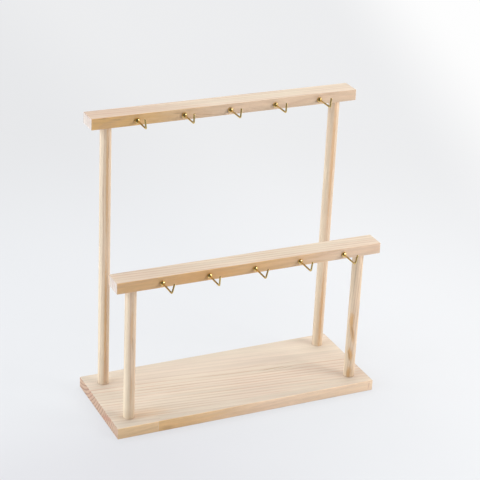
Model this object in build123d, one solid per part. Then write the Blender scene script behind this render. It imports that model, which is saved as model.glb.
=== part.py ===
from build123d import *

import os
from math import radians, tan

# Two-tier wooden stand for hanging necklaces and bracelets.
# A base carries two tall posts at the back and two short ones at the front. Each pair of posts
# carries a bar, and a row of brass screw hooks stands out of the front of each bar.
# Millimetres. Origin at the centre of the base's underside, +X along the stand, -Y to the front, +Z up.

# Base: a wide board with a narrow strip glued along its front edge.
# The strip is two lengths of wood that meet in a finger joint.
stand_length = 320.0
base_depth = 126.0
base_thickness = 13.0
edge_strip_depth = 13.0
strip_joint_from_left = 48.0
finger_length = 5.0
finger_tip_width = 0.8
finger_count = 3
wood_edge_radius = 0.7

# Posts: round dowels, seated in blind sockets in the base and in the bars
post_diameter = 12.7
tall_post_showing = 318.0
short_post_showing = 161.3
post_from_end = 21.0
post_from_edge = 21.7
post_end_chamfer = 0.8
socket_clearance = 0.05
wood_under_base_socket = 5.0
wood_over_bar_socket = 5.7

# Bars, as long as the base
bar_depth = 25.4
bar_height = 12.7

# Hooks: one brass wire each, out from the bar and square up, with a threaded end in the wood
hooks_per_bar = 5
first_hook_from_left = 52.2
last_hook_from_right = 47.2
hook_below_centre = 0.7
wire_diameter = 2.0
hook_reach = 27.0
hook_tip_height = 11.0
hook_tip_flat = 0.6
hook_bend_radius = 1.9
hook_neck_length = 1.2
hook_thread_length = 11.0
hook_thread_rise = 0.1
hook_thread_cut = 0.25
hook_thread_pitch = 1.1
hook_point_length = 2.2
hook_pilot_clearance = 0.05
hook_pilot_spare = 0.6

# How far each hook is turned from upright, in degrees: plus leans its tip to the right
upper_hook_turns = (-9.0, 0.0, 4.0, 1.0, 3.0)
lower_hook_turns = (15.0, 3.0, 14.0, 8.0, 14.0)

# Collars: a brass dome pressed on each hook's wire, with its flat back on the bar's face
collar_diameter = 6.0
collar_height = 2.8
collar_rim = 0.6
collar_nose_wall = 0.6
collar_interference = 0.02

# Screws: countersunk wood screws, up through the base into the posts
screw_length = 30.0
screw_diameter = 3.5
screw_head_diameter = 7.0
screw_head_angle = 90.0
screw_head_land = 0.4
screw_recess = 0.4
screw_neck_length = 3.5
screw_thread_cut = 0.55
screw_thread_pitch = 1.6
screw_point_length = 4.0
screw_hole_clearance = 0.15
screw_pilot_clearance = 0.05
screw_pilot_spare = 1.0
driver_slot_width = 1.0
driver_slot_span = 4.2
driver_slot_depth = 1.7

# Places and fits worked out from the sizes above
left = -stand_length / 2
right = stand_length / 2
front = -base_depth / 2
back = base_depth / 2
post_x = right - post_from_end
post_y = back - post_from_edge
post_foot_z = wood_under_base_socket
upper_bar_z = base_thickness + tall_post_showing
lower_bar_z = base_thickness + short_post_showing
bar_socket_depth = bar_height - wood_over_bar_socket
socket_radius = post_diameter / 2 + socket_clearance
glue_line_y = front + edge_strip_depth
strip_joint_x = left + strip_joint_from_left
hook_height_in_bar = bar_height / 2 - hook_below_centre
hook_thread_radius = wire_diameter / 2 + hook_thread_rise
screw_head_radius = screw_head_diameter / 2
screw_head_slope = tan(radians(screw_head_angle / 2))
standing = (Align.CENTER, Align.CENTER, Align.MIN)

# One row for each post: its name, the signs of its x and y, and the underside of the bar that it carries
posts = (
    ("post_back_left", -1, 1, upper_bar_z),
    ("post_back_right", 1, 1, upper_bar_z),
    ("post_front_left", -1, -1, lower_bar_z),
    ("post_front_right", 1, -1, lower_bar_z),
)

# One row for each bar: its name, the sign of its y, its underside and its hooks' turns
bars = (
    ("upper", 1, upper_bar_z, upper_hook_turns),
    ("lower", -1, lower_bar_z, lower_hook_turns),
)


def eased_block(length, depth, height):
    """A square-cut piece of wood that stands on z = 0, with all its edges eased."""
    block = Box(length, depth, height, align=standing)
    return fillet(block.edges(), wood_edge_radius)


def rod(radius, length):
    """A plain rod, or the volume of a round hole, that rises from z = 0."""
    return Cylinder(radius, length, align=standing)


def threaded_shank(neck, core, crest, pitch, neck_length, length, point_length):
    """A screw's shank up from z = 0, its radii given: a plain neck, V-shaped ridges and a point."""
    ridges = int((length - neck_length - point_length) / pitch)
    outline = [(0, 0), (neck, 0), (neck, neck_length), (core, neck_length)]
    for ridge in range(ridges):
        middle = neck_length + (ridge + 0.5) * pitch
        outline += [(core, middle - pitch / 4), (crest, middle), (core, middle + pitch / 4)]
    outline += [(core, length - point_length), (0, length)]
    return revolve(make_face(Plane.XZ * Polyline(outline, close=True)), Axis.Z)


def finger_line():
    """The zigzag of the strip's finger joint in plan, from the front edge back to the glue line."""
    pitch = edge_strip_depth / finger_count
    slope = pitch / 2 - finger_tip_width
    root_x = strip_joint_x
    tip_x = strip_joint_x + finger_length
    points = [(root_x, front)]
    for finger in range(finger_count):
        rise = front + finger * pitch + finger_tip_width / 2
        fall = rise + slope + finger_tip_width
        points += [(root_x, rise), (tip_x, rise + slope), (tip_x, fall), (root_x, fall + slope)]
    points.append((root_x, glue_line_y))
    return points


def slab(outline):
    """A plan outline raised through the full thickness of the base."""
    return extrude(make_face(Polyline(outline, close=True)), base_thickness)


def base_pieces():
    """The base board and the two lengths of its edge strip, cut from one eased and drilled panel."""
    panel = eased_block(stand_length, base_depth, base_thickness)
    for _, side, row, _ in posts:
        panel -= Pos(side * post_x, row * post_y, 0) * holes_under_post()
    board = slab([(left, glue_line_y), (right, glue_line_y), (right, back), (left, back)])
    strip_left = slab([(left, front)] + finger_line() + [(left, glue_line_y)])
    strip_right = slab([(right, front)] + finger_line() + [(right, glue_line_y)])
    return {
        "base_board": panel & board,
        "base_edge_strip_left": panel & strip_left,
        "base_edge_strip_right": panel & strip_right,
    }


def holes_under_post():
    """What is cut from the base for one post: its socket, the screw's hole and the countersink."""
    socket = Pos(0, 0, post_foot_z) * rod(socket_radius, base_thickness - post_foot_z)
    screw_hole = rod(screw_diameter / 2 + screw_hole_clearance, base_thickness)
    mouth_radius = screw_head_radius + (screw_recess + screw_head_land) * screw_head_slope
    countersink = Cone(mouth_radius, 0, mouth_radius / screw_head_slope, align=standing)
    return socket + screw_hole + countersink


def post(bar_z):
    """A dowel from its socket's floor in the base to its socket's end in the bar, bored for its screw."""
    dowel = rod(post_diameter / 2, bar_z + bar_socket_depth - post_foot_z)
    dowel = chamfer(dowel.edges().filter_by(GeomType.CIRCLE), post_end_chamfer)
    pilot_depth = screw_recess + screw_length - post_foot_z + screw_pilot_spare
    pilot = rod(screw_diameter / 2 + screw_pilot_clearance, pilot_depth)
    return Pos(0, 0, post_foot_z) * (dowel - pilot)


def hook_row():
    """The x of each hook on a bar, from left to right, evenly spread."""
    first = left + first_hook_from_left
    pitch = (right - last_hook_from_right - first) / (hooks_per_bar - 1)
    return [first + place * pitch for place in range(hooks_per_bar)]


def bar():
    """A bar on z = 0 with a blind socket near each end and a row of pilot holes in its front face."""
    wood = eased_block(stand_length, bar_depth, bar_height)
    for side in (-1, 1):
        wood -= Pos(side * post_x, 0, 0) * rod(socket_radius, bar_socket_depth)
    pilot = rod(hook_thread_radius + hook_pilot_clearance, hook_thread_length + hook_pilot_spare)
    for x in hook_row():
        wood -= Pos(x, -bar_depth / 2, hook_height_in_bar) * Rot(X=-90) * pilot
    return wood


def hook():
    """A screw hook: the bar's face is at y = 0, the wire runs to -Y and its tip points up."""
    radius = wire_diameter / 2
    corner = (0, -hook_reach, 0)
    path = FilletPolyline((0, 0, 0), corner, (0, -hook_reach, hook_tip_height), radius=hook_bend_radius)
    wire = sweep(Plane(origin=(0, 0, 0), z_dir=(0, -1, 0)) * Circle(radius), path=path)
    wire = fillet(wire.edges().group_by(Axis.Z)[-1], radius - hook_tip_flat / 2)
    thread = threaded_shank(
        radius,
        radius - hook_thread_cut,
        hook_thread_radius,
        hook_thread_pitch,
        hook_neck_length,
        hook_thread_length,
        hook_point_length,
    )
    return wire + Rot(X=-90) * thread


def collar():
    """The domed collar round a hook's wire, its flat back on y = 0."""
    hole = wire_diameter / 2 - collar_interference
    nose = wire_diameter / 2 + collar_nose_wall
    outer = collar_diameter / 2
    outline = Polyline((nose, collar_height), (hole, collar_height), (hole, 0), (outer, 0), (outer, collar_rim))
    dome = TangentArc((outer, collar_rim), (nose, collar_height), tangent=(0, 1))
    return Rot(X=90) * revolve(make_face(Plane.XZ * (outline + dome)), Axis.Z)


def screw():
    """A countersunk wood screw that points up, its head's outer face on z = 0, with a cross recess."""
    core = screw_diameter / 2 - screw_thread_cut
    land = rod(screw_head_radius, screw_head_land)
    head = Cone(screw_head_radius, core, (screw_head_radius - core) / screw_head_slope, align=standing)
    shank = threaded_shank(
        screw_diameter / 2,
        core,
        screw_diameter / 2,
        screw_thread_pitch,
        screw_neck_length,
        screw_length,
        screw_point_length,
    )
    blade = Box(driver_slot_span, driver_slot_width, driver_slot_depth, align=standing)
    taper = Cone(driver_slot_span / 2, driver_slot_width / 2, driver_slot_depth, align=standing)
    recess = (blade + Rot(Z=90) * blade) & taper
    return land + Pos(0, 0, screw_head_land) * head + shank - recess


def make_nodes():
    """Every piece of the stand in its place, by its node's name."""
    nodes = base_pieces()
    for name, side, row, bar_z in posts:
        nodes[name] = Pos(side * post_x, row * post_y, 0) * post(bar_z)
    for level, row, bar_z, turns in bars:
        nodes[f"{level}_bar"] = Pos(0, row * post_y, bar_z) * bar()
        hook_y = row * post_y - bar_depth / 2
        for number, x in enumerate(hook_row()):
            turn = turns[number % len(turns)]
            place = Pos(x, hook_y, bar_z + hook_height_in_bar) * Rot(Y=turn)
            nodes[f"{level}_hook_{number + 1}"] = place * hook()
            nodes[f"{level}_hook_collar_{number + 1}"] = place * collar()
    screws = [Pos(side * post_x, row * post_y, screw_recess) * screw() for _, side, row, _ in posts]
    nodes["base_screws"] = Compound(children=screws)
    return nodes


os.makedirs("parts", exist_ok=True)
for name, shape in make_nodes().items():
    export_step(shape, f"parts/{name}.step")
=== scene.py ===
from collections import namedtuple
from math import cos, radians, sin

import bmesh
import bpy
from bpy.props import FloatProperty, FloatVectorProperty, PointerProperty
from bpy.types import Operator, Panel, PropertyGroup
from mathutils import Euler, Matrix, Vector


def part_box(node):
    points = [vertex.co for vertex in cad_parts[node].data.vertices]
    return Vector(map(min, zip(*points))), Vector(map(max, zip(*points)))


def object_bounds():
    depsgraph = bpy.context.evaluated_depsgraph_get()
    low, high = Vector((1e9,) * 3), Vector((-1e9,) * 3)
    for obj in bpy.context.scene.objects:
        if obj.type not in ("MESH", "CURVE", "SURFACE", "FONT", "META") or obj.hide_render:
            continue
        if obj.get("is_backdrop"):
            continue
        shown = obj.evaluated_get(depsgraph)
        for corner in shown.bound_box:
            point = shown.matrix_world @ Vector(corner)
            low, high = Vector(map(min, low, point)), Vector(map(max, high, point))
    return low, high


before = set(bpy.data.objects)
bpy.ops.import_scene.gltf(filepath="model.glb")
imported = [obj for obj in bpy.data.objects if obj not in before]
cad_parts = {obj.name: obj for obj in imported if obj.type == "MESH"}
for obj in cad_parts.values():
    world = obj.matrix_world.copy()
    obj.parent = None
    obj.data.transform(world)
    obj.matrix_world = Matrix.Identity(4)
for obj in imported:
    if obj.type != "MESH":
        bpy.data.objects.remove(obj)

bl_info = {
    "name": "Two-tier jewelry stand",
    "version": (1, 0, 0),
    "blender": (4, 5, 0),
    "location": "3D View > Sidebar > Stand",
    "description": "Gives the pine and brass of a two-tier jewelry stand their finishes and sets its stage",
    "category": "Material",
}

MM = 0.001
PER_MM = 1000.0

# How each piece of wood was sawn from its log. The grain runs along the piece's longest side.
# tone: the piece's own colour beside the common pine, as factors of red, green and blue
# pith: where the log's centre lies from the middle of the piece, across the grain, in mm
# ring: the spacing of the growth rings in mm
# figure: how strongly the rings show, and the place across the piece in mm past which they calm down
# slant: how far the grain strays from the piece's length, turned about its two cross axes, in degrees
# front: the colour factors of the front face, which was planed from other rings than the top, and painted
# light
#     and shade, which make the front lighter or darker than the top as the light on it would
# honey: the colour of the latewood band that the front face was sawn along, how strongly it shows there,
#     and the x in mm where it starts to fade and where it ends; the band is also painted shade, deeper and
#     warmer towards the left, where less light falls, and paler to the right
# ends: the colour of the end grain, the spacing of its lines in mm and how strongly they show
# The round posts leave the last three out.
Cut = namedtuple("Cut", "tone pith ring figure slant front honey ends", defaults=(None, None, None))
COMMON = (1.0, 1.0, 1.0, 1.0)
BASE_TONE = (0.90, 0.955, 1.03, 1.0)
BAR_TONE = (0.96, 1.02, 1.08, 1.0)
POST_TONE = (1.07, 1.04, 0.985, 1.0)
# The fronts' honey bands, partly painted shade that deepens each front towards its left end
UPPER_HONEY_AND_SHADE = (0.695, 0.42, 0.17, 1.0)
LOWER_HONEY_AND_SHADE = (0.68, 0.412, 0.195, 1.0)
STRIP_HONEY_AND_SHADE = (0.78, 0.47, 0.195, 1.0)
NO_HONEY = (COMMON, 0.0, 0.0, 1.0)
NO_CALM = 1000.0
BASE_ENDS = ((0.54, 0.345, 0.225, 1.0), 4.4, 0.9)
# The bars' end grain is paler and greyer than the base's: partly its own colour, and partly painted light
# for the strong light that falls on the bars' ends from the left
BAR_ENDS_AND_LIGHT = ((0.65, 0.53, 0.445, 1.0), 6.5, 0.3)
CUTS = {
    "base_board": Cut(
        tone=BASE_TONE,
        pith=(42.0, 56.0),
        ring=4.6,
        figure=(1.0, 12.0),
        slant=(0.3, 6.5),
        front=COMMON,
        honey=NO_HONEY,
        ends=BASE_ENDS,
    ),
    "base_edge_strip_left": Cut(
        tone=BASE_TONE,
        pith=(30.0, -34.0),
        ring=4.6,
        figure=(0.35, NO_CALM),
        slant=(1.5, 5.0),
        front=(1.30, 1.14, 0.88, 1.0),
        honey=(STRIP_HONEY_AND_SHADE, 0.35, -200.0, 100.0),
        ends=BASE_ENDS,
    ),
    "base_edge_strip_right": Cut(
        tone=BASE_TONE,
        pith=(-26.0, 34.0),
        ring=5.0,
        figure=(0.35, NO_CALM),
        slant=(1.5, 4.0),
        front=(1.33, 1.18, 1.04, 1.0),
        honey=(STRIP_HONEY_AND_SHADE, 0.85, -112.0, 40.0),
        ends=BASE_ENDS,
    ),
    "upper_bar": Cut(
        tone=BAR_TONE,
        pith=(58.0, -12.0),
        ring=5.0,
        figure=(0.9, NO_CALM),
        slant=(-1.4, 3.0),
        front=(1.03, 0.905, 0.80, 1.0),
        honey=(UPPER_HONEY_AND_SHADE, 1.0, -125.0, 10.0),
        ends=BAR_ENDS_AND_LIGHT,
    ),
    "lower_bar": Cut(
        tone=BAR_TONE,
        pith=(-46.0, 16.0),
        ring=5.2,
        figure=(1.0, NO_CALM),
        slant=(-1.2, 3.5),
        front=(1.05, 0.92, 0.835, 1.0),
        honey=(LOWER_HONEY_AND_SHADE, 1.0, 10.0, 130.0),
        ends=BAR_ENDS_AND_LIGHT,
    ),
    "post_back_left": Cut(
        tone=POST_TONE,
        pith=(22.0, 9.0),
        ring=3.2,
        figure=(0.8, NO_CALM),
        slant=(1.2, 0.8),
    ),
    "post_back_right": Cut(
        tone=POST_TONE,
        pith=(-18.0, 16.0),
        ring=3.0,
        figure=(0.7, NO_CALM),
        slant=(-0.9, 1.1),
    ),
    "post_front_left": Cut(
        tone=POST_TONE,
        pith=(14.0, -20.0),
        ring=3.4,
        figure=(0.7, NO_CALM),
        slant=(1.6, -1.0),
    ),
    "post_front_right": Cut(
        tone=POST_TONE,
        pith=(-16.0, -14.0),
        ring=2.8,
        figure=(0.7, NO_CALM),
        slant=(-2.4, 1.8),
    ),
}

# Marks in the wood: brown resin streaks and knots, reddish streaks, honey-coloured streaks, and the pale
# glue line of the edge strip. Some honey marks are also painted shade, as said at each.
# place: its middle on the stand in mm
# size: half its length along x, y and z in mm
# lean: its turn about y in degrees; depth: how far it takes the wood to its colour
Mark = namedtuple("Mark", "place size lean depth")

# The base's pieces, and the faces that marks lie on, in mm
BOARD = "base_board"
EDGE_STRIPS = ("base_edge_strip_left", "base_edge_strip_right")
LEFT_END = round(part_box(BOARD)[0].x * PER_MM, 1)
BOARD_TOP = round(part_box(BOARD)[1].z * PER_MM, 1)
STRIP_FRONT = round(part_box(EDGE_STRIPS[0])[0].y * PER_MM, 1)

BROWN_MARKS = {
    "base_board": (
        Mark((60.0, 3.5, BOARD_TOP), (24.0, 0.9, 6.0), 0.0, 0.75),
        Mark((76.0, 0.5, BOARD_TOP), (18.0, 0.8, 6.0), 0.0, 0.65),
        Mark((92.0, -6.0, BOARD_TOP), (22.0, 0.7, 6.0), 0.0, 0.35),
        Mark((45.0, 17.0, BOARD_TOP), (26.0, 0.7, 6.0), 0.0, 0.30),
        Mark((84.0, 10.5, BOARD_TOP), (24.0, 0.7, 6.0), 0.0, 0.35),
    ),
    "base_edge_strip_right": (
        Mark((-101.0, STRIP_FRONT, 3.0), (11.0, 2.0, 4.5), 0.0, 0.34),
    ),
    "upper_bar": (
        Mark((-146.0, 28.6, 342.9), (9.0, 4.0, 0.6), 2.0, 0.85),
        Mark((-131.0, 28.6, 340.0), (10.0, 4.0, 0.6), 5.0, 0.75),
        Mark((-59.0, 28.6, 339.6), (11.0, 4.0, 0.7), 5.0, 0.60),
        Mark((-26.0, 28.6, 334.6), (15.0, 4.0, 0.7), 6.0, 0.50),
    ),
    "post_back_left": (Mark((-137.5, 35.5, 306.0), (0.8, 4.0, 26.0), 0.5, 0.60),),
    "post_front_left": (Mark((-138.0, -47.0, 108.0), (1.0, 4.0, 14.0), -2.0, 0.40),),
    "post_front_right": (
        Mark((136.4, -47.2, 72.0), (1.2, 4.0, 13.0), -9.0, 0.52),
        Mark((135.1, -46.3, 41.0), (1.2, 4.0, 12.0), -11.0, 0.55),
    ),
}
RED_MARKS = {
    "base_board": (
        Mark((LEFT_END, -18.0, 4.0), (3.0, 7.0, 3.5), 0.0, 0.60),
        Mark((LEFT_END, -27.0, 7.5), (3.0, 8.0, 4.0), 0.0, 0.75),
        Mark((LEFT_END, -36.0, 10.5), (3.0, 7.0, 3.5), 0.0, 0.60),
        Mark((LEFT_END, 26.0, 9.0), (3.0, 9.0, 5.0), 0.0, 0.30),
    ),
    "base_edge_strip_right": (Mark((155.0, STRIP_FRONT, 7.0), (0.9, 2.0, 6.5), 4.0, 0.40),),
    "lower_bar": (
        Mark((LEFT_END, -42.0, 182.0), (2.0, 2.5, 7.0), 0.0, 0.25),
        # A broad, darker reddish tone over the left part of the bar's top
        Mark((-135.0, -41.3, 187.0), (120.0, 22.0, 2.0), 0.0, 0.14),
    ),
    "upper_bar": (
        Mark((LEFT_END, 38.0, 338.0), (2.0, 4.0, 9.0), 0.0, 0.15),
        # A broad, darker reddish tone over the left part of the bar's top
        Mark((-140.0, 41.3, 343.7), (140.0, 22.0, 2.0), 0.0, 0.26),
    ),
}
HONEY_AND_SHADE_MARKS = {
    # A darker honey tone over the front left of the board's top
    "base_board": (Mark((-122.0, -42.0, BOARD_TOP), (42.0, 16.0, 4.0), 0.0, 0.20),),
    "lower_bar": (
        Mark((LEFT_END, -30.0, 180.6), (2.0, 3.5, 9.0), 0.0, 0.60),
        # A deeper honey tone over the left half of the bar's front, partly painted shade there
        Mark((-60.0, -54.0, 180.6), (60.0, 2.5, 10.0), 0.0, 0.70),
    ),
    # Honey streaks down the post's front side: partly its figure, and partly painted shade on the side that
    # faces the front
    "post_back_left": (
        Mark((-139.4, 35.0, 100.0), (2.0, 3.0, 105.0), 0.0, 0.75),
        Mark((-139.0, 35.0, 270.0), (2.2, 3.0, 100.0), 0.0, 0.60),
    ),
    # Honey streaks down the post's front side: partly its figure, and partly painted shade on the side that
    # faces the front
    "post_front_left": (
        Mark((-139.5, -47.6, 130.0), (2.2, 3.0, 36.0), 1.0, 0.45),
        Mark((-139.0, -47.6, 52.0), (1.8, 3.0, 30.0), 1.0, 0.35),
    ),
    # Honey streaks down the post's front side: partly its figure, and partly painted shade on the side that
    # faces the front
    "post_back_right": (
        Mark((138.4, 35.0, 260.0), (3.0, 3.0, 110.0), 0.0, 0.50),
        Mark((138.4, 35.0, 60.0), (3.0, 3.0, 75.0), 0.0, 0.60),
    ),
    "post_front_right": (
        Mark((134.6, -45.9, 87.0), (3.8, 4.0, 16.0), 0.0, 0.85),
        Mark((136.5, -47.2, 70.0), (3.6, 4.0, 16.0), -9.0, 0.65),
        Mark((135.6, -46.5, 44.0), (4.2, 4.0, 13.0), -11.0, 0.85),
        Mark((135.6, -46.5, 20.0), (4.5, 4.5, 11.0), 0.0, 0.75),
    ),
}
GLUE_LINE = Mark((-111.6, STRIP_FRONT, 6.5), (0.5, 1.2, 30.0), 0.0, 0.55)

# The dark ring round each post's foot, a dark joint line with painted shade where the post meets the base:
# its width, and how far it takes the wood to the marks' brown
FOOT_GAP_AND_SHADE = 1.0 * MM
FOOT_GAP_AND_SHADE_DEPTH = 0.15

# The pieces that share a finish
BASE = (BOARD,) + EDGE_STRIPS
BARS = ("upper_bar", "lower_bar")
POSTS = ("post_back_left", "post_back_right", "post_front_left", "post_front_right")
HOOKS = tuple(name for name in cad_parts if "_hook_" in name)
SCREWS = "base_screws"

# A Mix node's sockets for colours. Its other sockets have the same names.
MIX_AMOUNT = 0
MIX_FIRST = 6
MIX_SECOND = 7
MIX_RESULT = 2

# How the nodes are laid out in the node editor
NODES_A_ROW = 9
NODE_WIDTH = 200
NODE_HEIGHT = 260

# What noise varies about
NOISE_MIDDLE = 0.5

# The parts of a place that are kept: those across the grain, and those in plan
ACROSS_GRAIN = (0.0, 1.0, 1.0)
IN_PLAN = (1.0, 1.0, 0.0)


class Graph:
    """A node tree while it is built. Its calls add a node, and take values or other nodes' outputs."""

    def __init__(self, tree):
        self.tree = tree

    def add(self, kind, inputs, **settings):
        """A new node with its settings made and its inputs fed."""
        made = self.tree.nodes.new(kind)
        row, column = divmod(len(self.tree.nodes), NODES_A_ROW)
        made.location = (column * NODE_WIDTH, -row * NODE_HEIGHT)
        for name, value in settings.items():
            setattr(made, name, value)
        for key, value in inputs.items():
            self.feed(made.inputs[key], value)
        return made

    def feed(self, socket, value):
        """Sets an input to a value, or links it to another node's output."""
        if isinstance(value, bpy.types.NodeSocket):
            self.tree.links.new(value, socket)
        else:
            socket.default_value = value

    def maths(self, operation, *values):
        return self.add("ShaderNodeMath", dict(enumerate(values)), operation=operation).outputs[0]

    def vector(self, operation, *values):
        return self.add("ShaderNodeVectorMath", dict(enumerate(values)), operation=operation).outputs[0]

    def scaled(self, vector, factor):
        values = {0: vector, "Scale": factor}
        return self.add("ShaderNodeVectorMath", values, operation="SCALE").outputs[0]

    def length(self, vector):
        return self.add("ShaderNodeVectorMath", {0: vector}, operation="LENGTH").outputs["Value"]

    def dot(self, first, second):
        values = {0: first, 1: second}
        return self.add("ShaderNodeVectorMath", values, operation="DOT_PRODUCT").outputs["Value"]

    def parts(self, vector):
        """The X, Y and Z of a vector."""
        return self.add("ShaderNodeSeparateXYZ", {0: vector}).outputs

    def spot(self):
        """The place on the object in metres, which every pattern follows."""
        return self.add("ShaderNodeTexCoord", {}).outputs["Object"]

    def in_mm(self, spot):
        """A place in metres, turned into millimetres."""
        return self.add("ShaderNodeMapping", {"Vector": spot, "Scale": (PER_MM,) * 3}).outputs[0]

    def smooth(self, value, start, end, low=0.0, high=1.0):
        """A soft step from low to high as the value goes from start to end."""
        values = {"Value": value, "From Min": start, "From Max": end, "To Min": low, "To Max": high}
        return self.add("ShaderNodeMapRange", values, interpolation_type="SMOOTHSTEP").outputs[0]

    def noise(self, position, patch, detail=2.0, roughness=0.5, output=0):
        """Cloudy noise with patches of one size, in the position's units."""
        near = self.vector("DIVIDE", position, patch)
        values = {"Vector": near, "Scale": 1.0, "Detail": detail, "Roughness": roughness}
        return self.add("ShaderNodeTexNoise", values).outputs[output]

    def noise_along(self, value):
        """Smooth noise along one number, with a patch for each unit."""
        values = {"W": value, "Scale": 1.0}
        return self.add("ShaderNodeTexNoise", values, noise_dimensions="1D").outputs[0]

    def random_for(self, value):
        """A random number from 0 to 1, the same for the same value."""
        return self.add("ShaderNodeTexWhiteNoise", {"W": value}, noise_dimensions="1D").outputs["Value"]

    def blend(self, amount, first, second, mode="MIX"):
        """The second colour laid over the first, by the amount."""
        values = {MIX_AMOUNT: amount, MIX_FIRST: first, MIX_SECOND: second}
        return self.add("ShaderNodeMix", values, data_type="RGBA", blend_type=mode).outputs[MIX_RESULT]

    def group(self, tree, inputs):
        return self.add("ShaderNodeGroup", inputs, node_tree=tree).outputs


def node_group(name, vectors=(), colours=(), numbers=(), gives_colours=(), gives_numbers=()):
    """A new shader node group with the named sockets, as (tree, graph, its inputs, its outputs)."""
    tree = bpy.data.node_groups.new(name, "ShaderNodeTree")
    sockets = (
        ("INPUT", "NodeSocketVector", vectors),
        ("INPUT", "NodeSocketColor", colours),
        ("INPUT", "NodeSocketFloat", numbers),
        ("OUTPUT", "NodeSocketColor", gives_colours),
        ("OUTPUT", "NodeSocketFloat", gives_numbers),
    )
    for side, kind, titles in sockets:
        for title in titles:
            tree.interface.new_socket(title, in_out=side, socket_type=kind)
    given = tree.nodes.new("NodeGroupInput").outputs
    out = tree.nodes.new("NodeGroupOutput").inputs
    return tree, Graph(tree), given, out


# In the patterns that follow, a patch is the size of a noise's patches in mm. In wood its first number runs
# along the grain and the other two across it. A step is soft: where it starts and ends, and its values
# before and after.

# Growth rings: how far they stray from circles, for each mm of wander
DRIFT_PATCH = (170.0, 40.0, 40.0)
DRIFT_REACH = (0.0, 2.0, 2.0)
RIPPLE_PATCH = (38.0, 9.0, 9.0)
RIPPLE_REACH = (0.0, 0.22, 0.22)
# A ring's place strays from even spacing by up to this many rings, in patches that are a few rings wide
UNEVEN_RINGS = 0.6
UNEVEN_PATCHES_PER_RING = 0.37
# From 0 to 1 through a ring, the wood shades slowly, darkens in a line and falls back to pale
SHADE_STEP = (0.15, 0.90, 0.0, 0.22)
LINE_STEP = (0.66, 0.90, 0.0, 0.78)
FALL_STEP = (0.93, 1.0, 1.0, 0.0)
# Each season's line has its own strength. All lines fade past the calm place, and come and go in patches.
SEASON_STEP = (0.0, 1.0, 0.55, 1.0)
CALM_STEP = (-12.0, 14.0, 1.0, 0.10)
PATCHY_PATCH = (60.0, 9.0, 9.0)
PATCHY_STEP = (0.3, 0.65, 0.4, 1.0)


def sway(graph, position, patch, reach, detail):
    """A vector that sways about zero, in patches of one size."""
    cloud = graph.noise(position, patch, detail, output="Color")
    centred = graph.vector("SUBTRACT", cloud, (NOISE_MIDDLE,) * 3)
    return graph.vector("MULTIPLY", centred, reach)


def growth_rings():
    """The rings of a log: where the dark latewood that ends each ring lies."""
    if "Growth rings" in bpy.data.node_groups:
        return bpy.data.node_groups["Growth rings"]
    tree, graph, given, out = node_group(
        "Growth rings",
        vectors=("Position", "Pith"),
        numbers=("Ring Width", "Wander", "Figure", "Calm From"),
        gives_numbers=("Latewood",),
    )
    position = given["Position"]
    drift = sway(graph, position, DRIFT_PATCH, DRIFT_REACH, detail=1.0)
    ripple = sway(graph, position, RIPPLE_PATCH, RIPPLE_REACH, detail=2.0)
    stray = graph.scaled(graph.vector("ADD", drift, ripple), given["Wander"])
    in_log = graph.vector("ADD", position, stray)
    from_pith = graph.vector("SUBTRACT", in_log, given["Pith"])
    radius = graph.length(graph.vector("MULTIPLY", from_pith, ACROSS_GRAIN))

    ring = graph.maths("DIVIDE", radius, given["Ring Width"])
    uneven = graph.noise_along(graph.maths("MULTIPLY", ring, UNEVEN_PATCHES_PER_RING))
    ring = graph.maths("ADD", ring, graph.maths("MULTIPLY", uneven, UNEVEN_RINGS))
    through_ring = graph.maths("FRACT", ring)
    shade = graph.smooth(through_ring, *SHADE_STEP)
    line = graph.smooth(through_ring, *LINE_STEP)
    fall = graph.smooth(through_ring, *FALL_STEP)
    late = graph.maths("MULTIPLY", graph.maths("ADD", shade, line), fall)
    season = graph.random_for(graph.maths("FLOOR", ring))
    late = graph.maths("MULTIPLY", late, graph.smooth(season, *SEASON_STEP))

    past_calm = graph.maths("SUBTRACT", graph.parts(in_log)["Y"], given["Calm From"])
    figure = graph.maths("MULTIPLY", graph.smooth(past_calm, *CALM_STEP), given["Figure"])
    patchy = graph.smooth(graph.noise(position, PATCHY_PATCH), *PATCHY_STEP)
    graph.feed(out["Latewood"], graph.maths("MULTIPLY", late, graph.maths("MULTIPLY", figure, patchy)))
    return tree


# Pine fibre: resin canals are short dashes, which are darkest in the latewood
FIBRE_PATCH = (16.0, 0.42, 0.42)
STREAK_PATCH = (210.0, 3.6, 3.6)
CANAL_PATCH = (7.5, 0.45, 0.45)
CANAL_STEP = (0.66, 0.76, 0.0, 1.0)
NEAR_LATEWOOD_STEP = (0.05, 0.45, 0.25, 1.0)
BLUSH_PATCH = (120.0, 26.0, 26.0)
BLUSH_STEP = (0.35, 0.68, 0.0, 1.0)


def pine_fibre():
    """The finer figure of pine: fibres, long streaks, short resin canals and blushes of colour."""
    if "Pine fibre" in bpy.data.node_groups:
        return bpy.data.node_groups["Pine fibre"]
    tree, graph, given, out = node_group(
        "Pine fibre",
        vectors=("Position",),
        numbers=("Latewood",),
        gives_numbers=("Fibre", "Streak", "Canal", "Blush"),
    )
    position = given["Position"]
    graph.feed(out["Fibre"], graph.noise(position, FIBRE_PATCH, detail=3.0, roughness=0.6))
    graph.feed(out["Streak"], graph.noise(position, STREAK_PATCH, roughness=0.55))
    dashes = graph.smooth(graph.noise(position, CANAL_PATCH, detail=0.0), *CANAL_STEP)
    near_latewood = graph.smooth(given["Latewood"], *NEAR_LATEWOOD_STEP)
    graph.feed(out["Canal"], graph.maths("MULTIPLY", dashes, near_latewood))
    graph.feed(out["Blush"], graph.smooth(graph.noise(position, BLUSH_PATCH), *BLUSH_STEP))
    return tree


# Sawn ends: how the end grain starts, over the width of the eased edge
END_GRAIN_STEP = (0.1, 0.7, 1.0, 0.0)


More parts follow.
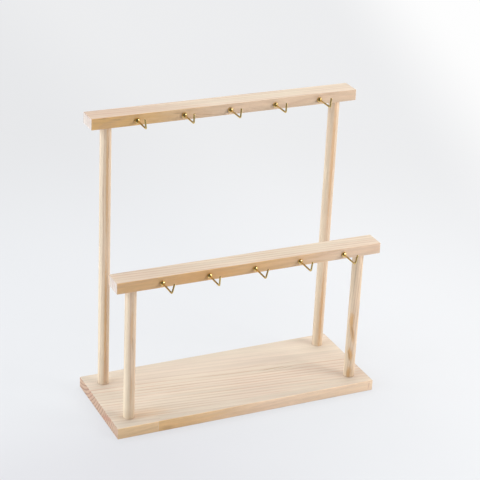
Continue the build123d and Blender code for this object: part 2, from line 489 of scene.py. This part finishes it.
def sawn_ends():
    """Where a square-cut piece that lies along X shows its end grain, at both ends of its length."""
    if "Sawn ends" in bpy.data.node_groups:
        return bpy.data.node_groups["Sawn ends"]
    tree, graph, given, out = node_group(
        "Sawn ends",
        vectors=("Spot",),
        numbers=("Middle", "Half Length", "Edge Width"),
        gives_numbers=("End Grain",),
    )
    from_middle = graph.maths("SUBTRACT", graph.parts(given["Spot"])["X"], given["Middle"])
    inside = graph.maths("SUBTRACT", given["Half Length"], graph.maths("ABSOLUTE", from_middle))
    in_widths = graph.maths("DIVIDE", inside, given["Edge Width"])
    graph.feed(out["End Grain"], graph.smooth(in_widths, *END_GRAIN_STEP))
    return tree


# Wood marks: how ragged their borders are, and how they fade from their middle to one half size away
RAGGED_PATCH = (6.0, 0.7, 0.7)
RAGGED_REACH = 1.1
MARK_STEP = (0.25, 1.0, 1.0, 0.0)


def wood_mark():
    """A ragged mark in the wood. Its local place is measured in its own half sizes from its middle."""
    if "Wood mark" in bpy.data.node_groups:
        return bpy.data.node_groups["Wood mark"]
    tree, graph, given, out = node_group(
        "Wood mark",
        vectors=("Local", "Position"),
        gives_numbers=("Mark",),
    )
    cloud = graph.noise(given["Position"], RAGGED_PATCH, roughness=0.6)
    ragged = graph.maths("MULTIPLY", graph.maths("SUBTRACT", cloud, NOISE_MIDDLE), RAGGED_REACH)
    reach = graph.maths("ADD", graph.length(given["Local"]), ragged)
    graph.feed(out["Mark"], graph.smooth(reach, *MARK_STEP))
    return tree


# Post feet: how the dark joint line and its painted shade fade, over their own width
GAP_AND_SHADE_STEP = (0.3, 1.0, 1.0, 0.0)


def post_foot():
    """The dark joint line and painted shade round a post's foot. Its local place is measured from the
    middle of the foot.
    """
    if "Post foot" in bpy.data.node_groups:
        return bpy.data.node_groups["Post foot"]
    tree, graph, given, out = node_group(
        "Post foot",
        vectors=("Local",),
        numbers=("Radius", "Width"),
        gives_numbers=("Gap And Shade",),
    )
    from_axis = graph.length(graph.vector("MULTIPLY", given["Local"], IN_PLAN))
    from_wall = graph.maths("ABSOLUTE", graph.maths("SUBTRACT", from_axis, given["Radius"]))
    from_board = graph.maths("ABSOLUTE", graph.parts(given["Local"])["Z"])
    reach = graph.maths("MAXIMUM", from_wall, from_board)
    graph.feed(out["Gap And Shade"], graph.smooth(graph.maths("DIVIDE", reach, given["Width"]), *GAP_AND_SHADE_STEP))
    return tree


# Front faces: how deep their own colour, partly painted light and shade, goes in mm, and how many mm a
# cloud moves its depth and its end
FRONT_STEP = (0.3, 1.5, 1.0, 0.0)
FRONT_CLOUD_PATCH = (60.0, 3.0, 3.0)
FRONT_CLOUD_DEPTH = 0.8
FRONT_CLOUD_LENGTH = 70.0


def front_face():
    """Where a front face lies with its own colour, which is partly painted light and shade, and how its
    honey-coloured band, partly painted shade, fades along it.
    """
    if "Front face" in bpy.data.node_groups:
        return bpy.data.node_groups["Front face"]
    tree, graph, given, out = node_group(
        "Front face",
        vectors=("Spot", "Position"),
        numbers=("Front", "Fades From", "Ends At"),
        gives_numbers=("Face", "Honey"),
    )
    spot = graph.parts(given["Spot"])
    cloud = graph.noise(given["Position"], FRONT_CLOUD_PATCH)
    cloud = graph.maths("SUBTRACT", cloud, NOISE_MIDDLE)
    depth = graph.maths("SUBTRACT", spot["Y"], given["Front"])
    depth = graph.maths("ADD", depth, graph.maths("MULTIPLY", cloud, FRONT_CLOUD_DEPTH))
    shallow = graph.smooth(depth, *FRONT_STEP)
    graph.feed(out["Face"], shallow)
    along = graph.maths("ADD", spot["X"], graph.maths("MULTIPLY", cloud, FRONT_CLOUD_LENGTH))
    fading = graph.smooth(along, given["Fades From"], given["Ends At"], 1.0, 0.0)
    graph.feed(out["Honey"], graph.maths("MULTIPLY", shallow, fading))
    return tree


# Plated metal: the haze, which dulls and roughens the plating, and the grit of fine scratches
HAZE_PATCH = (2.6, 2.6, 2.6)
HAZE_STEP = (0.42, 0.72, 0.0, 1.0)
HAZE_ROUGHNESS = 0.12
HAZE_HEIGHT = 0.4
GRIT_PATCH = (0.22, 0.22, 0.22)
GRIT_ROUGHNESS = 0.06


def plated_metal():
    """Plated metal with a haze where handling has dulled it, and with fine scratches."""
    if "Plated metal" in bpy.data.node_groups:
        return bpy.data.node_groups["Plated metal"]
    tree, graph, given, out = node_group(
        "Plated metal",
        vectors=("Position",),
        colours=("Bright", "Dull"),
        numbers=("Roughness",),
        gives_colours=("Color",),
        gives_numbers=("Roughness", "Height"),
    )
    haze = graph.noise(given["Position"], HAZE_PATCH, detail=3.0, roughness=0.6)
    haze = graph.smooth(haze, *HAZE_STEP)
    grit = graph.noise(given["Position"], GRIT_PATCH)
    graph.feed(out["Color"], graph.blend(haze, given["Bright"], given["Dull"]))
    rough = graph.maths("ADD", given["Roughness"], graph.maths("MULTIPLY", haze, HAZE_ROUGHNESS))
    rough = graph.maths("ADD", rough, graph.maths("MULTIPLY", grit, GRIT_ROUGHNESS))
    graph.feed(out["Roughness"], rough)
    graph.feed(out["Height"], graph.maths("ADD", graph.maths("MULTIPLY", haze, HAZE_HEIGHT), grit))
    return tree


# What the settings of one kind have in common
COLOUR = {"subtype": "COLOR", "size": 4, "min": 0.0, "max": 1.0}
SHARE = {"subtype": "FACTOR", "min": 0.0, "max": 1.0}
POWER = {"subtype": "POWER", "unit": "POWER", "min": 0.0}


class WoodSettings(PropertyGroup):
    """The stand's bare, sanded pine."""

    early_colour: FloatVectorProperty(
        name="Earlywood",
        description="Colour of the pale wood between the rings",
        default=(0.72, 0.57, 0.42, 1.0),
        **COLOUR,
    )
    late_colour: FloatVectorProperty(
        name="Latewood",
        description="Colour of the dark line that ends each ring",
        default=(0.50, 0.30, 0.195, 1.0),
        **COLOUR,
    )
    blush_colour: FloatVectorProperty(
        name="Blush",
        description="Colour of the pinkish stretches of wood",
        default=(0.71, 0.545, 0.405, 1.0),
        **COLOUR,
    )
    # Also the colour of the painted shade in the honey marks that stand in for shade
    honey_and_shade_colour: FloatVectorProperty(
        name="Honey",
        description="Colour of the honey-coloured streaks",
        default=(0.69, 0.375, 0.145, 1.0),
        **COLOUR,
    )
    end_late_colour: FloatVectorProperty(
        name="Latewood, end grain",
        description="Colour of the rings on the sawn ends",
        default=(0.33, 0.165, 0.115, 1.0),
        **COLOUR,
    )
    mark_colour: FloatVectorProperty(
        name="Marks",
        description="Colour of the brown resin streaks and knots",
        default=(0.34, 0.185, 0.085, 1.0),
        **COLOUR,
    )
    red_colour: FloatVectorProperty(
        name="Reddish marks",
        description="Colour of the reddish streaks",
        default=(0.46, 0.20, 0.13, 1.0),
        **COLOUR,
    )
    glue_colour: FloatVectorProperty(
        name="Glue line",
        description="Colour of the pale line where the edge strip is joined",
        default=(0.80, 0.68, 0.52, 1.0),
        **COLOUR,
    )
    ring_contrast: FloatProperty(
        name="Ring contrast",
        description="How strongly the rings show on the long faces",
        default=0.95,
        **SHARE,
    )
    front_calm: FloatProperty(
        name="Calm fronts",
        description="How far the rings fade on the front faces of the square-cut pieces",
        default=0.65,
        **SHARE,
    )
    wander: FloatProperty(
        name="Wander",
        description="How far the rings stray from a true circle, in millimetres",
        default=2.0,
        min=0.0,
        max=20.0,
    )
    edge_width: FloatProperty(
        name="Eased edge",
        description="Width of the eased edge where the end grain starts",
        subtype="DISTANCE",
        unit="LENGTH",
        default=0.7 * MM,
        min=0.0,
        max=0.01,
    )
    roughness: FloatProperty(
        name="Roughness",
        description="Roughness of the sanded wood",
        default=0.55,
        **SHARE,
    )


class MetalSettings(PropertyGroup):
    """The brass hooks and collars, and the zinc screws under the base."""

    brass_colour: FloatVectorProperty(
        name="Brass",
        description="Colour of the bright brass plating",
        default=(0.83, 0.63, 0.27, 1.0),
        **COLOUR,
    )
    brass_dull_colour: FloatVectorProperty(
        name="Dulled brass",
        description="Colour of the plating where handling has dulled it",
        default=(0.70, 0.52, 0.20, 1.0),
        **COLOUR,
    )
    brass_roughness: FloatProperty(
        name="Brass roughness",
        description="Roughness of the bright brass",
        default=0.16,
        **SHARE,
    )
    zinc_colour: FloatVectorProperty(
        name="Zinc",
        description="Colour of the screws' zinc plating",
        default=(0.60, 0.62, 0.64, 1.0),
        **COLOUR,
    )
    zinc_dull_colour: FloatVectorProperty(
        name="Dulled zinc",
        description="Colour of the zinc where it has dulled",
        default=(0.42, 0.43, 0.44, 1.0),
        **COLOUR,
    )
    zinc_roughness: FloatProperty(
        name="Zinc roughness",
        description="Roughness of the screws' plating",
        default=0.32,
        **SHARE,
    )


class StageSettings(PropertyGroup):
    """The floor, the light and the camera."""

    floor_colour: FloatVectorProperty(
        name="Floor",
        description="Colour of the floor round the stand",
        default=(0.803, 0.81, 0.826, 1.0),
        **COLOUR,
    )
    # Painted light: the floor turns paler far to the right of the stand
    far_right_light_colour: FloatVectorProperty(
        name="Floor, far right",
        description="Colour of the floor far to the right of the stand",
        default=(0.99, 0.99, 0.99, 1.0),
        **COLOUR,
    )
    # Painted shade: the floor turns darker in front of the stand on its left
    near_left_shade_colour: FloatVectorProperty(
        name="Floor, near left",
        description="Colour of the floor in front of the stand on its left",
        default=(0.745, 0.742, 0.765, 1.0),
        **COLOUR,
    )
    left_colour: FloatVectorProperty(
        name="Left light colour",
        description="Colour of the softbox on the left, a little cool beside the others",
        subtype="COLOR",
        default=(0.77, 0.89, 1.0),
        min=0.0,
        max=1.0,
    )
    left_watts: FloatProperty(
        name="Left light",
        description="Power of the softbox on the left",
        default=85.5,
        **POWER,
    )
    back_watts: FloatProperty(
        name="Back light",
        description="Power of the large softbox high behind the stand",
        default=101.0,
        **POWER,
    )
    back_left_watts: FloatProperty(
        name="Back left light",
        description="Power of the softbox behind the stand on its left",
        default=3.0,
        **POWER,
    )
    right_watts: FloatProperty(
        name="Right light",
        description="Power of the softbox on the right",
        default=8.0,
        **POWER,
    )
    near_watts: FloatProperty(
        name="Near light",
        description="Power of the small softbox close to the stand, in front on the right",
        default=11.7,
        **POWER,
    )
    front_watts: FloatProperty(
        name="Front light",
        description="Power of the softbox in front of the stand",
        default=1.2,
        **POWER,
    )
    camera_azimuth: FloatProperty(
        name="Azimuth",
        description="Angle of the camera round the stand from straight in front, minus to the left",
        subtype="ANGLE",
        unit="ROTATION",
        default=radians(-25.62),
    )
    camera_elevation: FloatProperty(
        name="Elevation",
        description="Angle of the camera above the horizon",
        subtype="ANGLE",
        unit="ROTATION",
        default=radians(24.44),
    )
    camera_roll: FloatProperty(
        name="Roll",
        description="Tilt of the camera about its own line of sight",
        subtype="ANGLE",
        unit="ROTATION",
        default=radians(2.72),
    )
    camera_distance: FloatProperty(
        name="Distance",
        description="Distance of the camera from the point that it looks at",
        subtype="DISTANCE",
        unit="LENGTH",
        default=1.8447,
        min=0.1,
    )
    camera_aim: FloatVectorProperty(
        name="Aim",
        description="Point that the camera looks at",
        subtype="TRANSLATION",
        unit="LENGTH",
        default=(0.01177, 0.00761, 0.18631),
    )
    camera_lens: FloatProperty(
        name="Lens",
        description="Focal length of the camera in millimetres",
        default=122.0,
        min=20.0,
    )


def cleared(holder):
    """The graph of a material or world, with its nodes cleared away."""
    holder.use_nodes = True
    holder.node_tree.nodes.clear()
    return Graph(holder.node_tree)


def new_material(name):
    """A material with a Principled shader on its output, as (material, graph, shader's inputs)."""
    material = bpy.data.materials.new(name)
    graph = cleared(material)
    shader = graph.add("ShaderNodeBsdfPrincipled", {})
    graph.add("ShaderNodeOutputMaterial", {"Surface": shader.outputs[0]})
    return material, graph, shader.inputs


def dress(node, material):
    """Puts the material on a CAD node in place of its plain one."""
    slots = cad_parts[node].data.materials
    slots.clear()
    slots.append(material)


# Pine: how sharp the end grain's lines are, how far a resin canal takes the wood to the latewood's colour,
# and how much lighter or darker the streaks and the fibres make it
END_LINE_STEP = (0.0, 0.28, 0.0, 1.0)
CANAL_DEPTH = 0.35
STREAK_STEP = (0.3, 0.7, 0.93, 1.05)
HAIR_STEP = (0.2, 0.8, 0.95, 1.04)
# Its roughness and its relief
FIBRE_ROUGHNESS = 0.12
LATEWOOD_SMOOTHNESS = 0.08
LATEWOOD_HEIGHT = 0.25
FIBRE_HEIGHT = 0.5
CANAL_HOLLOW = 0.8
PINE_RELIEF = 0.12 * MM
PINE_RELIEF_STRENGTH = 0.35


def x_range(nodes):
    """The lowest and highest x that several nodes reach together."""
    boxes = [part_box(name) for name in nodes]
    return min(low.x for low, high in boxes), max(high.x for low, high in boxes)


def grain_turn(cut, upright):
    """The rotation that lays the grain of a piece along X, from its own length and the cut's slant."""
    lie_down = Matrix.Rotation(radians(90), 3, "Y") if upright else Matrix.Identity(3)
    slant_up, slant_aside = cut.slant
    slant = Matrix.Rotation(radians(slant_aside), 3, "Z") @ Matrix.Rotation(radians(slant_up), 3, "Y")
    return slant @ lie_down


def along_grain(graph, spot, node, upright):
    """The place in a piece in mm from its middle, with X along its grain."""
    low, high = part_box(node)
    turn = grain_turn(CUTS[node], upright)
    place = {
        "Vector": spot,
        "Location": -(turn @ (low + high)) / 2 * PER_MM,
        "Rotation": turn.to_euler(),
        "Scale": (PER_MM,) * 3,
    }
    return graph.add("ShaderNodeMapping", place).outputs[0]


def tint_front(graph, wood, shown, spot, position, node):
    """The wood's colour and how far its rings show, as they are on the piece's front face, whose colour
    factors are partly painted light and shade and whose honey band is partly painted shade.
    """
    cut = CUTS[node]
    honey_and_shade_colour, strength, fades_from, ends_at = cut.honey
    values = {
        "Spot": graph.in_mm(spot),
        "Position": position,
        "Front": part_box(node)[0].y * PER_MM,
        "Fades From": fades_from,
        "Ends At": ends_at,
    }
    face = graph.group(front_face(), values)
    # The front's colour factors are partly painted light and shade, and its honey band is partly painted
    # shade towards the left
    wood = graph.blend(face["Face"], wood, cut.front, "MULTIPLY")
    wood = graph.blend(graph.maths("MULTIPLY", face["Honey"], strength), wood, honey_and_shade_colour)
    calm = graph.smooth(face["Face"], 0.0, 1.0, 1.0, 1.0 - bpy.context.scene.stand_wood.front_calm)
    return wood, graph.maths("MULTIPLY", shown, calm)


def show_ends(graph, wood, spot, rings, node, sawn_from):
    """The wood's colour with the end grain on both ends of what the piece was sawn from."""
    settings = bpy.context.scene.stand_wood
    # For the bars, this end colour is partly painted light
    colour, line_spacing, contrast = CUTS[node].ends
    end_rings = {**rings, "Ring Width": line_spacing, "Calm From": NO_CALM}
    lines = graph.smooth(graph.group(growth_rings(), end_rings)["Latewood"], *END_LINE_STEP)
    end_grain = graph.blend(graph.maths("MULTIPLY", lines, contrast), colour, settings.end_late_colour)
    left, right = x_range(sawn_from)
    values = {
        "Spot": spot,
        "Middle": (left + right) / 2,
        "Half Length": (right - left) / 2,
        "Edge Width": settings.edge_width,
    }
    return graph.blend(graph.group(sawn_ends(), values)["End Grain"], wood, end_grain)


def put_marks(graph, wood, spot, position, marks, colour):
    """The wood's colour with its marks on it."""
    for mark in marks:
        place = {
            "Vector": spot,
            "Location": Vector(mark.place) * MM,
            "Rotation": (0.0, radians(mark.lean), 0.0),
            "Scale": Vector(mark.size) * MM,
        }
        local = graph.add("ShaderNodeMapping", place, vector_type="TEXTURE").outputs[0]
        shape = graph.group(wood_mark(), {"Local": local, "Position": position})["Mark"]
        wood = graph.blend(graph.maths("MULTIPLY", shape, mark.depth), wood, colour)
    return wood


def darken_feet(graph, wood, spot, colour):
    """The wood's colour with a dark joint line and painted shade where each post stands in the base."""
    board_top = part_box(BOARD)[1].z
    for post in POSTS:
        low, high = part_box(post)
        middle = Vector(((low.x + high.x) / 2, (low.y + high.y) / 2, board_top))
        foot = {
            "Local": graph.vector("SUBTRACT", spot, middle),
            "Radius": (high.x - low.x) / 2,
            "Width": FOOT_GAP_AND_SHADE,
        }
        gap_and_shade = graph.group(post_foot(), foot)["Gap And Shade"]
        wood = graph.blend(graph.maths("MULTIPLY", gap_and_shade, FOOT_GAP_AND_SHADE_DEPTH), wood, colour)
    return wood


def shade_fibres(graph, wood, fibre):
    """The wood's colour, lighter and darker along its streaks and fibres."""
    streak = graph.smooth(fibre["Streak"], *STREAK_STEP)
    hair = graph.smooth(fibre["Fibre"], *HAIR_STEP)
    lightness = graph.maths("MULTIPLY", streak, hair)
    grey = graph.add("ShaderNodeCombineColor", {0: lightness, 1: lightness, 2: lightness}).outputs[0]
    return graph.blend(1.0, wood, grey, "MULTIPLY")


def raise_surface(graph, shader, height, distance, strength):
    """Gives the shader a fine relief."""
    values = {"Strength": strength, "Distance": distance, "Height": height}
    graph.feed(shader["Normal"], graph.add("ShaderNodeBump", values).outputs[0])


def sand(graph, shader, latewood, fibre, roughness):
    """Gives the shader the roughness and the fine relief of sanded pine."""
    rough = graph.maths("ADD", roughness, graph.maths("MULTIPLY", fibre["Fibre"], FIBRE_ROUGHNESS))
    rough = graph.maths("SUBTRACT", rough, graph.maths("MULTIPLY", latewood, LATEWOOD_SMOOTHNESS))
    graph.feed(shader["Roughness"], rough)
    late_height = graph.maths("MULTIPLY", latewood, LATEWOOD_HEIGHT)
    fibre_height = graph.maths("MULTIPLY", fibre["Fibre"], FIBRE_HEIGHT)
    hollow = graph.maths("MULTIPLY", fibre["Canal"], CANAL_HOLLOW)
    height = graph.maths("SUBTRACT", graph.maths("ADD", late_height, fibre_height), hollow)
    raise_surface(graph, shader, height, PINE_RELIEF, PINE_RELIEF_STRENGTH)


def pine(node, sawn_from=None):
    """A pine material for one piece of wood, with its own cut from the log.

    sawn_from names the nodes that were sawn to length together, or is None for a round piece."""
    settings = bpy.context.scene.stand_wood
    cut = CUTS[node]
    material, graph, shader = new_material(f"Pine of the {node.replace('_', ' ')}")
    spot = graph.spot()
    position = along_grain(graph, spot, node, upright=sawn_from is None)
    rings = {
        "Position": position,
        "Pith": (0.0,) + cut.pith,
        "Ring Width": cut.ring,
        "Wander": settings.wander,
        "Figure": cut.figure[0],
        "Calm From": cut.figure[1],
    }
    latewood = graph.group(growth_rings(), rings)["Latewood"]
    fibre = graph.group(pine_fibre(), {"Position": position, "Latewood": latewood})

    wood = graph.blend(fibre["Blush"], settings.early_colour, settings.blush_colour)
    wood = graph.blend(1.0, wood, cut.tone, "MULTIPLY")
    shown = graph.maths("MULTIPLY", latewood, settings.ring_contrast)
    if sawn_from:
        wood, shown = tint_front(graph, wood, shown, spot, position, node)
    wood = graph.blend(shown, wood, settings.late_colour)
    if sawn_from:
        wood = show_ends(graph, wood, spot, rings, node, sawn_from)
    wood = graph.blend(graph.maths("MULTIPLY", fibre["Canal"], CANAL_DEPTH), wood, settings.late_colour)
    wood = put_marks(graph, wood, spot, position, HONEY_AND_SHADE_MARKS.get(node, ()), settings.honey_and_shade_colour)
    wood = put_marks(graph, wood, spot, position, BROWN_MARKS.get(node, ()), settings.mark_colour)
    wood = put_marks(graph, wood, spot, position, RED_MARKS.get(node, ()), settings.red_colour)
    # Painted shade with a dark joint line round each post's foot, in the marks' brown
    if node in POSTS or node == BOARD:
        wood = darken_feet(graph, wood, spot, settings.mark_colour)
    if node in EDGE_STRIPS:
        wood = put_marks(graph, wood, spot, position, (GLUE_LINE,), settings.glue_colour)
    graph.feed(shader["Base Color"], shade_fibres(graph, wood, fibre))
    sand(graph, shader, latewood, fibre, settings.roughness)
    return material


# The plating's relief
PLATING_RELIEF = 0.02 * MM
PLATING_RELIEF_STRENGTH = 0.12


def plated(name, bright, dull, roughness):
    """A plated metal whose haze and scratches follow the piece."""
    material, graph, shader = new_material(name)
    values = {
        "Position": graph.in_mm(graph.spot()),
        "Bright": bright,
        "Dull": dull,
        "Roughness": roughness,
    }
    metal = graph.group(plated_metal(), values)
    graph.feed(shader["Base Color"], metal["Color"])
    graph.feed(shader["Roughness"], metal["Roughness"])
    graph.feed(shader["Metallic"], 1.0)
    raise_surface(graph, shader, metal["Height"], PLATING_RELIEF, PLATING_RELIEF_STRENGTH)
    return material


class STAND_OT_finish_base(Operator):
    """Gives the base board and its edge strip their pine"""

    bl_idname = "stand.finish_base"
    bl_label = "Finish the base"

    def execute(self, context):
        for node in BASE:
            dress(node, pine(node, sawn_from=BASE))
        return {"FINISHED"}


class STAND_OT_finish_posts(Operator):
    """Gives the four posts their pine"""

    bl_idname = "stand.finish_posts"
    bl_label = "Finish the posts"

    def execute(self, context):
        for node in POSTS:
            dress(node, pine(node))
        return {"FINISHED"}


class STAND_OT_finish_bars(Operator):
    """Gives the two bars their pine"""

    bl_idname = "stand.finish_bars"
    bl_label = "Finish the bars"

    def execute(self, context):
        for node in BARS:
            dress(node, pine(node, sawn_from=(node,)))
        return {"FINISHED"}


class STAND_OT_finish_hooks(Operator):
    """Gives the hooks and their collars bright brass"""

    bl_idname = "stand.finish_hooks"
    bl_label = "Finish the hooks"

    def execute(self, context):
        settings = context.scene.stand_metal
        brass = plated(
            "Brass plating",
            settings.brass_colour,
            settings.brass_dull_colour,
            settings.brass_roughness,
        )
        for node in HOOKS:
            dress(node, brass)
        return {"FINISHED"}


class STAND_OT_finish_screws(Operator):
    """Gives the screws under the base their zinc plating"""

    bl_idname = "stand.finish_screws"
    bl_label = "Finish the screws"

    def execute(self, context):
        settings = context.scene.stand_metal
        zinc = plated(
            "Zinc plating",
            settings.zinc_colour,
            settings.zinc_dull_colour,
            settings.zinc_roughness,
        )
        dress(SCREWS, zinc)
        return {"FINISHED"}


# The floor, in metres
FLOOR_RADIUS = 14.0
FLOOR_SIDES = 96

# Where the floor turns paler with painted light, by x and by x less a part of y, and where it is darker
# with painted shade, by y and by x
RIGHT_STEP = (0.05, 0.35, 0.0, 0.22)
FAR_RIGHT_STEP = (0.42, 0.68, 0.0, 0.78)
FAR_RIGHT_TURN = 0.3
NEAR_STEP = (-0.14, 0.08, 1.0, 0.0)
LEFT_STEP = (-0.18, 0.12, 1.0, 0.0)

# How much of the floor is seen plain and unlit, by the distance from the stand's middle. The rest is lit.
PLAIN_STEP = (0.3, 0.9, 0.8, 1.0)

# Softboxes: where each stands and its width, in metres
LEFT_BOX = ((-2.2, 0.2, 0.9), 2.4)
BACK_LEFT_BOX = ((-1.2, 2.2, 1.2), 2.0)
BACK_BOX = ((0.5, 1.25, 2.9), 3.2)
RIGHT_BOX = ((2.1, 0.3, 0.7), 1.4)
NEAR_BOX = ((0.94, -0.76, 0.80), 0.6)
FRONT_BOX = ((0.6, -1.2, 0.7), 0.8)

# How metal sees the floor and the world: as steps that darken them towards the front left. The floor's
# step is in metres on the floor, and the world's in shares of the direction.
FLOOR_SEEN = (0.22, 0.55, 0.95, 0.17)
WORLD_SEEN = (-0.9, 0.2, 0.28, 0.17)

# The camera's sensor, in mm
SENSOR_WIDTH = 36.0


def seen_or_mirrored(graph):
    """1 for what the camera sees directly, or in metal or glass, and 0 for what only lights the object."""
    path = graph.add("ShaderNodeLightPath", {}).outputs
    mirrored = graph.maths("MAXIMUM", path["Is Glossy Ray"], path["Is Transmission Ray"])
    return graph.maths("MAXIMUM", path["Is Camera Ray"], mirrored)


def towards_front_left(graph, vector, settings):
    """How far a place or a direction goes to the front left, the side that the photo was taken from."""
    azimuth = settings.camera_azimuth
    return graph.dot(vector, (sin(azimuth), -cos(azimuth), 0.0))


def seen_brightness(graph, frontness, step):
    """1 for the camera, and for metal a studio that darkens towards the front left."""
    seen = graph.add("ShaderNodeLightPath", {}).outputs["Is Camera Ray"]
    return graph.maths("MAXIMUM", graph.smooth(frontness, *step), seen)


def floor_colour(graph, spot, settings):
    """The floor's colour: a little darker in front on the left with painted shade, and paler on the right
    with painted light.
    """
    place = graph.parts(spot)
    right = graph.smooth(place["X"], *RIGHT_STEP)
    turned = graph.maths("SUBTRACT", place["X"], graph.maths("MULTIPLY", place["Y"], FAR_RIGHT_TURN))
    paler = graph.maths("ADD", right, graph.smooth(turned, *FAR_RIGHT_STEP))
    colour = graph.blend(paler, settings.floor_colour, settings.far_right_light_colour)
    near = graph.smooth(place["Y"], *NEAR_STEP)
    left = graph.smooth(place["X"], *LEFT_STEP)
    return graph.blend(graph.maths("MULTIPLY", near, left), colour, settings.near_left_shade_colour)


def floor_material(settings):
    """A pale floor that keeps the stand's shadow, and has painted light and shade in its colour."""
    material = bpy.data.materials.new("Pale floor")
    graph = cleared(material)
    spot = graph.spot()
    colour = floor_colour(graph, spot, settings)
    lit = graph.add("ShaderNodeBsdfDiffuse", {"Color": colour})
    brightness = seen_brightness(graph, towards_front_left(graph, spot, settings), FLOOR_SEEN)
    plain = graph.add("ShaderNodeEmission", {"Color": colour, "Strength": brightness})
    share = graph.smooth(graph.length(spot), *PLAIN_STEP)
    share = graph.maths("MULTIPLY", seen_or_mirrored(graph), share)
    both = graph.add("ShaderNodeMixShader", {0: share, 1: lit.outputs[0], 2: plain.outputs[0]})
    graph.add("ShaderNodeOutputMaterial", {0: both.outputs[0]})
    return material


def make_floor(settings):
    """A wide round floor under the base."""
    shape = bmesh.new()
    bmesh.ops.create_circle(shape, cap_ends=True, segments=FLOOR_SIDES, radius=FLOOR_RADIUS)
    mesh = bpy.data.meshes.new("floor")
    shape.to_mesh(mesh)
    shape.free()
    floor = bpy.data.objects.new("floor", mesh)
    mesh.materials.append(floor_material(settings))
    bpy.context.scene.collection.objects.link(floor)
    floor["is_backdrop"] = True


def make_world(settings):
    """A pale background that gives no light. Metal sees it darker."""
    world = bpy.data.worlds.new("Tent")
    bpy.context.scene.world = world
    graph = cleared(world)
    direction = graph.add("ShaderNodeTexCoord", {}).outputs["Generated"]
    brightness = seen_brightness(graph, towards_front_left(graph, direction, settings), WORLD_SEEN)
    strength = graph.maths("MULTIPLY", brightness, seen_or_mirrored(graph))
    pale = graph.add("ShaderNodeBackground", {"Color": settings.floor_colour, "Strength": strength})
    graph.add("ShaderNodeOutputWorld", {0: pale.outputs[0]})


def softbox(name, place, size, aim, watts, colour=(1.0, 1.0, 1.0), mirrored=False):
    """A square softbox at a place, turned to a point. mirrored says whether metal shows it."""
    light = bpy.data.lights.new(name, "AREA")
    light.size = size
    light.energy = watts
    light.color = colour
    lamp = bpy.data.objects.new(name, light)
    bpy.context.scene.collection.objects.link(lamp)
    lamp.location = place
    lamp.rotation_euler = (Vector(aim) - Vector(place)).to_track_quat("-Z", "Y").to_euler()
    lamp.visible_glossy = mirrored


def make_camera(settings):
    """The camera, placed round its aim by azimuth, elevation and distance, and rolled."""
    data = bpy.data.cameras.new("camera")
    data.sensor_width = SENSOR_WIDTH
    data.lens = settings.camera_lens
    camera = bpy.data.objects.new("camera", data)
    bpy.context.scene.collection.objects.link(camera)
    turn = Euler((radians(90) - settings.camera_elevation, 0.0, settings.camera_azimuth)).to_matrix()
    turn = turn @ Matrix.Rotation(settings.camera_roll, 3, "Z")
    away = turn @ Vector((0.0, 0.0, settings.camera_distance))
    camera.location = Vector(settings.camera_aim) + away
    camera.rotation_euler = turn.to_euler()
    bpy.context.scene.camera = camera


class STAND_OT_set_stage(Operator):
    """Lays the floor and sets up the light and the camera"""

    bl_idname = "stand.set_stage"
    bl_label = "Set the stage"

    def execute(self, context):
        settings = context.scene.stand_stage
        low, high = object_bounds()
        middle = (low + high) / 2
        make_floor(settings)
        make_world(settings)
        softbox("left softbox", *LEFT_BOX, middle, settings.left_watts, settings.left_colour)
        softbox("back softbox", *BACK_BOX, middle, settings.back_watts)
        softbox("back left softbox", *BACK_LEFT_BOX, middle, settings.back_left_watts)
        softbox("front softbox", *FRONT_BOX, middle, settings.front_watts)
        softbox("right softbox", *RIGHT_BOX, middle, settings.right_watts, mirrored=True)
        softbox("near softbox", *NEAR_BOX, middle, settings.near_watts, mirrored=True)
        make_camera(settings)
        context.scene.view_settings.view_transform = "Standard"
        return {"FINISHED"}


class STAND_PT_sidebar(Panel):
    """Lists the steps that finish the stand, with their settings"""

    bl_idname = "STAND_PT_sidebar"
    bl_label = "Jewelry stand"
    bl_space_type = "VIEW_3D"
    bl_region_type = "UI"
    bl_category = "Stand"

    def draw(self, context):
        for settings in (context.scene.stand_wood, context.scene.stand_metal, context.scene.stand_stage):
            box = self.layout.box()
            for name in settings.__annotations__:
                box.prop(settings, name)
        for step in STEPS:
            self.layout.operator(step.bl_idname)


STEPS = (
    STAND_OT_finish_base,
    STAND_OT_finish_posts,
    STAND_OT_finish_bars,
    STAND_OT_finish_hooks,
    STAND_OT_finish_screws,
    STAND_OT_set_stage,
)
CLASSES = (WoodSettings, MetalSettings, StageSettings) + STEPS + (STAND_PT_sidebar,)


def register():
    for made in CLASSES:
        bpy.utils.register_class(made)
    bpy.types.Scene.stand_wood = PointerProperty(type=WoodSettings)
    bpy.types.Scene.stand_metal = PointerProperty(type=MetalSettings)
    bpy.types.Scene.stand_stage = PointerProperty(type=StageSettings)


def unregister():
    del bpy.types.Scene.stand_wood
    del bpy.types.Scene.stand_metal
    del bpy.types.Scene.stand_stage
    for made in reversed(CLASSES):
        bpy.utils.unregister_class(made)


def main():
    """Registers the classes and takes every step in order."""
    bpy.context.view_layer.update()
    register()
    bpy.ops.stand.finish_base()
    bpy.ops.stand.finish_posts()
    bpy.ops.stand.finish_bars()
    bpy.ops.stand.finish_hooks()
    bpy.ops.stand.finish_screws()
    bpy.ops.stand.set_stage()


if __name__ == "__main__":
    main()
